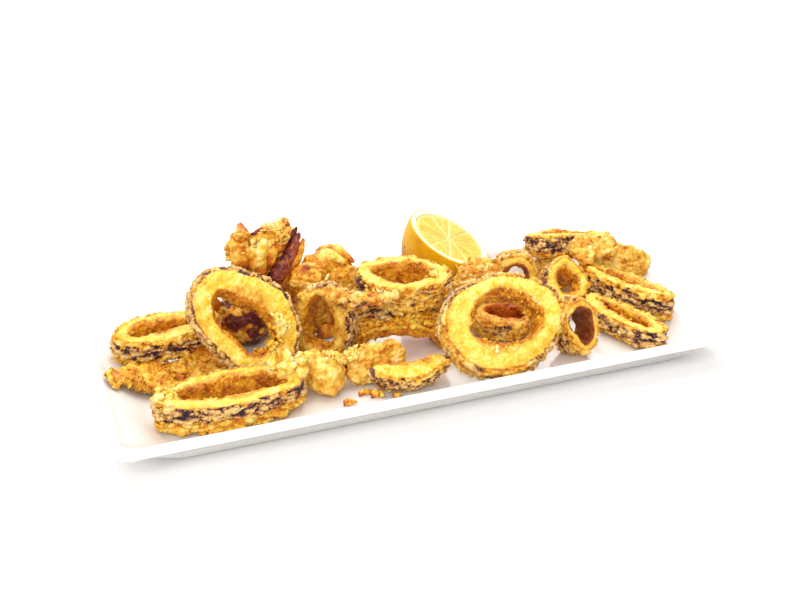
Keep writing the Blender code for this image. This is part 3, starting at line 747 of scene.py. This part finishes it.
class Recipe:
    """One material's node tree, built a step at a time."""

    def __init__(self, name):
        self.material = bpy.data.materials.new(name)
        self.material.use_nodes = True
        self.tree = self.material.node_tree
        self.shader = self.tree.nodes["Principled BSDF"]
        self.place = self.add("ShaderNodeTexCoord").outputs["Object"]

    def add(self, kind, **settings):
        made = self.tree.nodes.new(kind)
        for name, value in settings.items():
            setattr(made, name, value)
        return made

    def feed(self, socket, value):
        if isinstance(value, bpy.types.NodeSocket):
            self.tree.links.new(value, socket)
        else:
            socket.default_value = value

    def noise(self, scale, detail, roughness=0.55):
        made = self.add("ShaderNodeTexNoise")
        self.feed(made.inputs["Vector"], self.place)
        made.inputs["Scale"].default_value = scale
        made.inputs["Detail"].default_value = detail
        made.inputs["Roughness"].default_value = roughness
        return made.outputs["Fac"]

    def cells(self, scale, place=None):
        made = self.add("ShaderNodeTexVoronoi")
        self.feed(made.inputs["Vector"], place or self.place)
        made.inputs["Scale"].default_value = scale
        return made.outputs["Distance"]

    def mark(self, name):
        return self.add("ShaderNodeAttribute", attribute_name=name).outputs["Fac"]

    def math(self, operation, a, b):
        made = self.add("ShaderNodeMath", operation=operation)
        self.feed(made.inputs[0], a)
        self.feed(made.inputs[1], b)
        return made.outputs[0]

    def plus(self, a, b):
        return self.math("ADD", a, b)

    def times(self, a, b):
        return self.math("MULTIPLY", a, b)

    def between(self, value, low, high, to_low=0.0, to_high=1.0):
        made = self.add("ShaderNodeMapRange", interpolation_type="SMOOTHSTEP")
        for name, number in {"Value": value, "From Min": low, "From Max": high, "To Min": to_low,
                             "To Max": to_high}.items():
            self.feed(made.inputs[name], number)
        return made.outputs["Result"]

    def ramp(self, value, stops):
        made = self.add("ShaderNodeValToRGB")
        while len(made.color_ramp.elements) < len(stops):
            made.color_ramp.elements.new(0.5)
        for element, (at, colour) in zip(made.color_ramp.elements, stops):
            element.position = at
            element.color = linear(*colour)
        self.feed(made.inputs["Fac"], value)
        return made.outputs["Color"]

    def blend(self, share, a, b, how="MIX"):
        made = self.add("ShaderNodeMix", data_type="RGBA", blend_type=how)
        self.feed(made.inputs["Factor"], share)
        self.feed(made.inputs["A"], a)
        self.feed(made.inputs["B"], b)
        return made.outputs["Result"]

    def bump(self, height, strength, distance):
        made = self.add("ShaderNodeBump")
        made.inputs["Strength"].default_value = strength
        made.inputs["Distance"].default_value = distance
        self.feed(made.inputs["Height"], height)
        self.feed(self.shader.inputs["Normal"], made.outputs["Normal"])

    def set(self, **values):
        for name, value in values.items():
            self.feed(self.shader.inputs[name.replace("_", " ")], value)


# Colours as seen, 0 to 255, each at its place on a ramp from low and dark to high and light
GOLDEN = ((0.20, (150, 72, 8)), (0.36, (204, 120, 18)), (0.50, (232, 160, 34)), (0.66, (245, 194, 64)),
          (0.85, (253, 226, 134)))
CREAM = ((0.18, (218, 148, 20)), (0.36, (236, 186, 46)), (0.50, (244, 209, 82)), (0.62, (250, 228, 132)),
         (0.82, (255, 245, 200)))
INSIDE = ((0.18, (150, 74, 6)), (0.36, (202, 120, 12)), (0.54, (234, 166, 26)), (0.80, (249, 212, 78)))
SKIN = ((0.34, (44, 34, 46)), (0.46, (92, 58, 60)), (0.57, (156, 98, 72)), (0.69, (216, 158, 84)),
        (0.84, (242, 206, 130)))
MAROON = ((0.25, (62, 14, 18)), (0.50, (112, 34, 34)), (0.8, (186, 96, 60)))
# TOAST is the colour of toasted spots; the other two are the painted shade's orange and dark brown.
TOAST, SHADE_ORANGE, SHADE_BROWN = (196, 120, 22), (236, 176, 88), (104, 50, 14)
GLAZE = ((0.3, (232, 227, 223)), (0.7, (237, 233, 230)))
# The peel's ramp runs from its own yellow to the darker orange of its painted shade.
PEEL_YELLOW = ((0.25, (232, 180, 6)), (0.48, (210, 134, 2)), (0.80, (172, 80, 1)))
PITH = ((0.3, (250, 242, 196)), (0.7, (253, 249, 226)))
FLECK = (80, 48, 12)
PULP = ((0.2, (202, 162, 22)), (0.55, (218, 186, 48)), (0.9, (232, 210, 90)))
SEGMENT_WALL = (242, 230, 160)


def fried_batter():
    """Golden batter, cream where the ring was cut, orange inside, over purple-brown squid skin, with
    painted shade in its crevices and hollows.
    """
    r = Recipe("fried_batter")
    broad = r.between(r.noise(150, 4), 0.30, 0.70)
    mottle = r.between(r.noise(520, 4, 0.65), 0.30, 0.70)
    speck = r.noise(1500, 2)
    # The tone follows the crust's height kept in crag: painted shade in its hollows, with its bumps
    # lighter; broad and mottle are the batter's own uneven tone.
    crag = r.mark("crag")
    lift = r.plus(r.times(crag, 0.6), r.times(mottle, 0.4))
    tone = r.plus(r.times(lift, 0.70), r.times(broad, 0.30))
    golden = r.ramp(tone, GOLDEN)
    cream = r.ramp(r.plus(r.times(tone, 0.8), 0.13), CREAM)
    inside = r.ramp(tone, INSIDE)
    # The skin's layers also take the crust's height, with the same painted shade in its hollows.
    layers = r.plus(r.times(r.mark("flake"), 0.6), r.plus(r.times(mottle, 0.25), r.times(crag, 0.25)))
    skin = r.ramp(layers, SKIN)
    colour = r.blend(r.between(r.mark("cut"), 0.1, 0.9), golden, cream)
    colour = r.blend(r.between(r.mark("inner"), 0.2, 0.95), colour, inside)
    bare = r.plus(r.mark("skin"), r.times(r.plus(mottle, -0.5), 0.6))
    colour = r.blend(r.between(bare, 0.40, 0.62), colour, skin)
    maroon = r.ramp(lift, MAROON)
    colour = r.blend(r.between(r.plus(r.mark("maroon"), r.times(mottle, 0.2)), 0.5, 0.85),
                     colour, maroon)
    toast = r.times(r.between(r.noise(260, 3), 0.56, 0.72, 0.0, 0.45),
                   r.between(r.mark("cut"), 0.15, 0.7, 1.0, 0.08))
    colour = r.blend(toast, colour, linear(*TOAST))
    # Painted shade: multiplied to orange, then mixed to dark brown, where the shade mark is high, in
    # crevices, hollows and between pieces.
    orange_shade = r.blend(1.0, colour, linear(*SHADE_ORANGE), "MULTIPLY")
    colour = r.blend(r.between(r.mark("deep"), 0.0, 0.6), colour, orange_shade)
    colour = r.blend(r.between(r.mark("deep"), 0.45, 1.0, 0.0, 0.75), colour, linear(*SHADE_BROWN))
    r.set(Base_Color=colour, Roughness=r.between(speck, 0.35, 0.65, 0.28, 0.50), Subsurface_Weight=0.08,
          Subsurface_Radius=(1.0, 0.45, 0.15), Subsurface_Scale=0.0010, Specular_IOR_Level=0.38)
    grain = r.plus(r.times(speck, 0.5), r.times(mottle, 0.8))
    r.bump(r.times(grain, r.between(r.mark("cut"), 0.4, 1.0, 1.0, 0.35)), 0.5, 0.0008)
    return r.material


def porcelain():
    """Glossy white glaze, very slightly uneven."""
    r = Recipe("porcelain")
    tint = r.ramp(r.noise(14, 2), GLAZE)
    r.set(Base_Color=tint, Roughness=0.12, Coat_Weight=0.6, Coat_Roughness=0.04, Specular_IOR_Level=0.5)
    r.bump(r.noise(55, 1), 0.05, 0.0006)
    return r.material


def lemon_peel():
    """Waxy yellow peel with fine pits, a few dark flecks, and painted shade that turns it darker orange low
    down.
    """
    r = Recipe("lemon_peel")
    broad = r.noise(60, 2)
    pits = r.between(r.cells(620), 0.0, 0.55)
    # Painted shade: the peel turns darker orange towards the bottom of its dome, over its own uneven tone.
    tone_and_low_shade = r.plus(r.times(broad, 0.6), r.times(r.mark("low"), 0.5))
    colour = r.ramp(tone_and_low_shade, PEEL_YELLOW)
    flecks = r.times(r.between(r.cells(210), 0.20, 0.28, 0.9, 0.0),
                    r.between(r.noise(70, 1), 0.40, 0.46))
    colour = r.blend(r.times(flecks, r.between(r.mark("low"), 0.05, 0.3)), colour,
                     linear(*FLECK))
    colour = r.blend(r.mark("pith"), colour, r.ramp(r.noise(400, 2), PITH))
    r.set(Base_Color=colour, Roughness=0.45, Specular_IOR_Level=0.18, Subsurface_Weight=0.05,
          Subsurface_Radius=(1.0, 0.6, 0.1), Subsurface_Scale=0.0015)
    r.bump(pits, 0.35, 0.0007)
    return r.material


def lemon_flesh():
    """Juicy segments between pale walls, with long pulp cells running to the middle."""
    r = Recipe("lemon_flesh")
    polar = r.add("ShaderNodeAttribute", attribute_name="polar").outputs["Vector"]
    pulp = r.between(r.cells(1.0, place=polar), 0.1, 0.75)
    tone = r.plus(r.times(pulp, 0.6), r.times(r.noise(120, 2), 0.4))
    colour = r.ramp(tone, PULP)
    colour = r.blend(r.times(r.mark("wall"), 0.8), colour, linear(*SEGMENT_WALL))
    r.set(Base_Color=colour, Roughness=0.25, Specular_IOR_Level=0.5, Subsurface_Weight=0.2,
          Subsurface_Radius=(1.0, 0.75, 0.25), Subsurface_Scale=0.003)
    r.bump(pulp, 0.35, 0.0006)
    return r.material


def backdrop():
    r = Recipe("backdrop")
    r.set(Base_Color=(0.95, 0.945, 0.94, 1), Roughness=0.6)
    return r.material


# ---- lemon half


def lemon_place():
    """Where the middle of the cut face is, and how it is turned, from the peel's solid."""
    turn = aim(LEMON_FACING, LEMON_RISE)
    local = points_of(SOLIDS["lemon_peel"]) @ np.array(turn.to_3x3())
    low, high = local.min(0), local.max(0)
    middle = Vector(((low[0] + high[0]) / 2, (low[1] + high[1]) / 2, high[2] - 0.0004))
    return Matrix.Translation(turn.to_3x3() @ middle) @ turn


def turned_piece(name, profile, steps):
    """A body spun from a profile of (radius, height) points, welded at its poles."""
    bpy.ops.mesh.primitive_plane_add(size=0.001)
    thing = bpy.context.object
    thing.name = thing.data.name = name
    edit_all()
    bpy.ops.mesh.delete(type="VERT")
    bpy.ops.object.mode_set(mode="OBJECT")
    thing.data.from_pydata([(radius, 0, height) for radius, height in profile],
                           [(i, i + 1) for i in range(len(profile) - 1)], [])
    pick(thing)
    edit_all()
    bpy.ops.mesh.spin(steps=steps, angle=math.tau, center=(0, 0, 0), axis=(0, 0, 1))
    bpy.ops.mesh.select_all(action="SELECT")
    bpy.ops.mesh.remove_doubles(threshold=0.00003)
    bpy.ops.mesh.normals_make_consistent(inside=False)
    bpy.ops.object.mode_set(mode="OBJECT")
    return thing


def put(thing, place):
    """Carry a piece made at the origin to its place, in its mesh."""
    thing.data.transform(place)
    thing.data.update()


def peel_profile(inside):
    """The peel's outline: the nub, the dome, the cut rim, and down inside to the middle."""
    profile = [(radius, -LEMON_DOME - LEMON_NUB * share) for radius, share in NUB]
    for step in range(DOME_FROM, DOME_STEPS + 1):
        angle = math.radians(90 * step / DOME_STEPS)
        profile.append((LEMON_RADIUS * math.sin(angle), -LEMON_DOME * math.cos(angle)))
    edge = LEMON_RADIUS - 0.0005
    profile += [(LEMON_RADIUS - 0.0001, 0.00015), (edge, 0.00035)]
    profile += [(edge - (PEEL - 0.0009) * k / 6, 0.0004 - 0.0003 * k / 6) for k in range(1, 7)]
    below = -FLESH_DEPTH - 0.002
    return profile + [(inside, -0.0004), (inside, -0.003), (inside, -FLESH_DEPTH), (inside * 0.6, below),
                      (0.0, below)]


def make_peel(place, inside):
    """The peel with its nub, white where it is cut and in its cup."""
    peel = turned_piece("lemon_peel_waxed", peel_profile(inside), PEEL_STEPS)
    points = points_of(peel)
    radius, height = np.hypot(points[:, 0], points[:, 1]), points[:, 2]
    rim = 1 - ease(LEMON_RADIUS - 0.0014, LEMON_RADIUS - 0.0006, radius)
    cup = (radius < inside + 0.0004) & (height > -FLESH_DEPTH - 0.0025)
    # The low mark grows towards the bottom of the dome; it carries the peel's painted shade and its flecks.
    set_marks(peel, pith=np.where(height > -0.0002, rim, cup), low=ease(-0.004, -LEMON_DOME * 0.9, height))
    put(peel, place)
    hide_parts("lemon_peel")
    return peel


def make_flesh(place, inside):
    """The cut flesh: puffed segments between walls, and a plain side and bottom."""
    angles = SEGMENTS * SEGMENT_STEPS
    bpy.ops.mesh.primitive_circle_add(vertices=angles, radius=inside - 0.0001, fill_type="TRIFAN")
    flesh = bpy.context.object
    flesh.name = flesh.data.name = "lemon_flesh_juicy"
    reach = inside - 0.0003
    rows, wall, polar = [(0.0, 0.0, 0.0)], [1.0], [(0, 0, 0)]
    rng = random.Random(SWELL_SEED)
    swell = [rng.uniform(0.8, 1.15) for _ in range(SEGMENTS)]
    for i in range(1, FLESH_RINGS + 1):
        share = i / FLESH_RINGS
        radius = reach * share
        for j in range(angles):
            angle = math.tau * j / angles
            across = j / SEGMENT_STEPS % 1.0
            from_wall = min(across, 1 - across) * math.tau / SEGMENTS * radius
            rim = math.exp(-((reach - radius) / RIM_FADE) ** 2)
            side = math.exp(-(from_wall / WALL_FADE) ** 2)
            core = math.exp(-(radius / CORE_FADE) ** 2)
            pale = max(rim, side, core)
            puff = swell[(j // SEGMENT_STEPS) % SEGMENTS] * PUFF * (1 - pale)
            height = FLESH_LEVEL + puff + RIM_UP * rim
            rows.append((radius * math.cos(angle), radius * math.sin(angle), height))
            wall.append(pale)
            polar.append((angle * PULP_CELLS[0], share * PULP_CELLS[1], 0))
    faces = [(0, 1 + j, 1 + (j + 1) % angles) for j in range(angles)]
    last, below = 1 + (FLESH_RINGS - 1) * angles, len(rows)
    rows += [(x, y, -FLESH_DEPTH + 0.0003) for x, y, _ in rows[last:]]
    wall += [1.0] * angles
    polar += polar[last:]
    for a in range(1, below, angles):
        faces += [(a + j, a + angles + j, a + angles + (j + 1) % angles, a + (j + 1) % angles)
                  for j in range(angles)]
    faces.append(tuple(reversed(range(below, below + angles))))
    flesh.data.clear_geometry()
    flesh.data.from_pydata(rows, [], faces)
    set_marks(flesh, wall=wall)
    made = flesh.data.attributes.new("polar", "FLOAT_VECTOR", "POINT")
    made.data.foreach_set("vector", np.array(polar, np.float32).ravel())
    put(flesh, place)
    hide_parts("lemon_flesh")
    return flesh


def make_lemon():
    place = lemon_place()
    inside = LEMON_RADIUS - PEEL
    peel, flesh = make_peel(place, inside), make_flesh(place, inside)
    for thing, material in ((peel, lemon_peel()), (flesh, lemon_flesh())):
        coat(thing, material)
        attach(thing, BODY)


# ---- platter


def platter_levels():
    """Each level after the foot's inside edge: inset along X, inset along Y and height."""
    levels = list(UNDERSIDE)
    inset, tall, middle, count = RIM_BELOW
    for k in range(1, count + 1):
        turn = math.radians(90 * k / count)
        levels.append((inset * (1 - math.sin(turn)),) * 2 + (middle - tall * math.cos(turn),))
    inset, tall, middle, count = RIM_ABOVE
    for k in range(count + 1):
        turn = math.radians(90 * k / count)
        levels.append((inset * (1 - math.cos(turn)),) * 2 + (middle + tall * math.sin(turn),))
    levels += RIM_TOP
    for k in range(1, SLOPE_STEPS):
        share = k / SLOPE_STEPS
        levels.append((SLOPE_FROM[0] + SLOPE_BY[0] * share, SLOPE_FROM[1] + SLOPE_BY[1] * share,
                       SLOPE_FROM[2] - SLOPE_BY[2] * share ** SLOPE_BEND))
    return levels + FLOOR


def make_platter():
    """The platter, extruded level by level from a plane with round corners."""
    half_x, half_y = PLATTER_HALF
    bpy.ops.mesh.primitive_plane_add(size=2.0)
    thing = bpy.context.object
    thing.name = thing.data.name = "platter_glazed"
    bpy.ops.transform.resize(value=(half_x, half_y, 1))
    bpy.ops.object.transform_apply(location=True, rotation=True, scale=True)
    edit_all()
    bpy.ops.mesh.bevel(offset=CORNER, offset_type="OFFSET", segments=14, affect="VERTICES")
    bpy.ops.mesh.delete(type="ONLY_FACE")
    inset_x, inset_y, foot_height = FOOT_IN
    at = [half_x - inset_x, half_y - inset_y, foot_height]
    bpy.ops.mesh.select_all(action="SELECT")
    bpy.ops.transform.resize(value=(at[0] / half_x, at[1] / half_y, 1))
    bpy.ops.transform.translate(value=(0, 0, foot_height))
    for inset_x, inset_y, height in platter_levels():
        x, y = half_x - inset_x, half_y - inset_y
        bpy.ops.mesh.extrude_region_move(TRANSFORM_OT_translate={"value": (0, 0, height - at[2])})
        bpy.ops.transform.resize(value=(x / at[0], y / at[1], 1))
        at = [x, y, height]
    bpy.ops.mesh.edge_face_add()
    bpy.ops.mesh.select_all(action="DESELECT")
    bpy.ops.object.mode_set(mode="OBJECT")
    edge = np.abs(points_of(thing)[:, 2] - foot_height) < 1e-6
    thing.data.vertices.foreach_set("select", edge)
    ends = [line.vertices for line in thing.data.edges]
    thing.data.edges.foreach_set("select", [bool(edge[a] and edge[b]) for a, b in ends])
    bpy.ops.object.mode_set(mode="EDIT")
    bpy.ops.mesh.edge_face_add()
    bpy.ops.mesh.select_all(action="SELECT")
    bpy.ops.mesh.normals_make_consistent(inside=False)
    bpy.ops.object.mode_set(mode="OBJECT")
    thing.data.materials.append(porcelain())
    bpy.ops.object.shade_smooth_by_angle(angle=math.radians(40))
    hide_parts("platter")
    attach(thing, BODY)


# ---- studio


def lamp(name, place, target, size, power, colour):
    light = bpy.data.lights.new(name, "AREA")
    light.size = size
    light.energy = power
    light.color = colour
    thing = bring_in(name, light)
    thing.location = place
    thing.rotation_euler = (Vector(target) - Vector(place)).to_track_quat("-Z", "Y").to_euler()


def studio():
    """A white table under large soft lights, and the camera."""
    bpy.ops.mesh.primitive_plane_add(size=6.0, location=(0, 0, 0))
    floor = bpy.context.object
    floor.name = "table_top"
    floor.data.materials.append(backdrop())
    world = bpy.data.worlds.new("studio")
    bpy.context.scene.world = world
    world.use_nodes = True
    sky = world.node_tree.nodes["Background"]
    sky.inputs["Color"].default_value = SKY
    sky.inputs["Strength"].default_value = SKY_LIGHT
    for values in LAMPS:
        lamp(*values)
    camera = bpy.data.cameras.new("camera")
    camera.lens = LENS
    camera.clip_start = 0.02
    thing = bring_in("camera", camera)
    thing.matrix_world = (Matrix.Translation(CAMERA_PLACE)
                          @ Matrix.Rotation(math.radians(CAMERA_YAW), 4, "Z")
                          @ Matrix.Rotation(math.radians(90 - CAMERA_DOWN), 4, "X"))
    bpy.context.scene.camera = thing
    bpy.context.scene.view_settings.view_transform = "Standard"


def main():
    batter = fried_batter()
    field = crowd_field()
    fried = [squid_ring(node, batter, field) for node in RINGS]
    fried += [tentacle(node, batter, field) for node in TENTACLES]
    rng = random.Random(CRUMB_SEED)
    sprinkle("flakes_on_skin", fried,
             lambda marks, points: 0.002 + marks["skin"] * (0.15 + clumps(points)),
             FLAKES, batter, rng)
    sprinkle("crumbs_on_crust", [thing for thing in fried if not thing.name.startswith(SMOOTH_CRUST)],
             lambda marks, points: ((1.02 - marks["cut"]) * (0.05 + clumps(points))
                                    * (1 - 0.7 * marks["deep"])),
             CRUMBS_OF_CRUST, batter, rng)
    sprinkle("tufts_of_batter", fried,
             lambda marks, points: 1e-6 + near_tufts(points) ** 2 * rim_edge(marks["cut"]),
             LOOSE_TUFTS, batter, rng)
    sprinkle("frills_of_batter", [thing for thing in fried if thing.name.startswith(FRILLED)],
             lambda marks, points: 0.05 + clumps(points) * marks["crag"],
             FRILLS, batter, rng)
    leaves("leaves_of_batter", batter)
    make_lemon()
    make_platter()
    studio()


main()
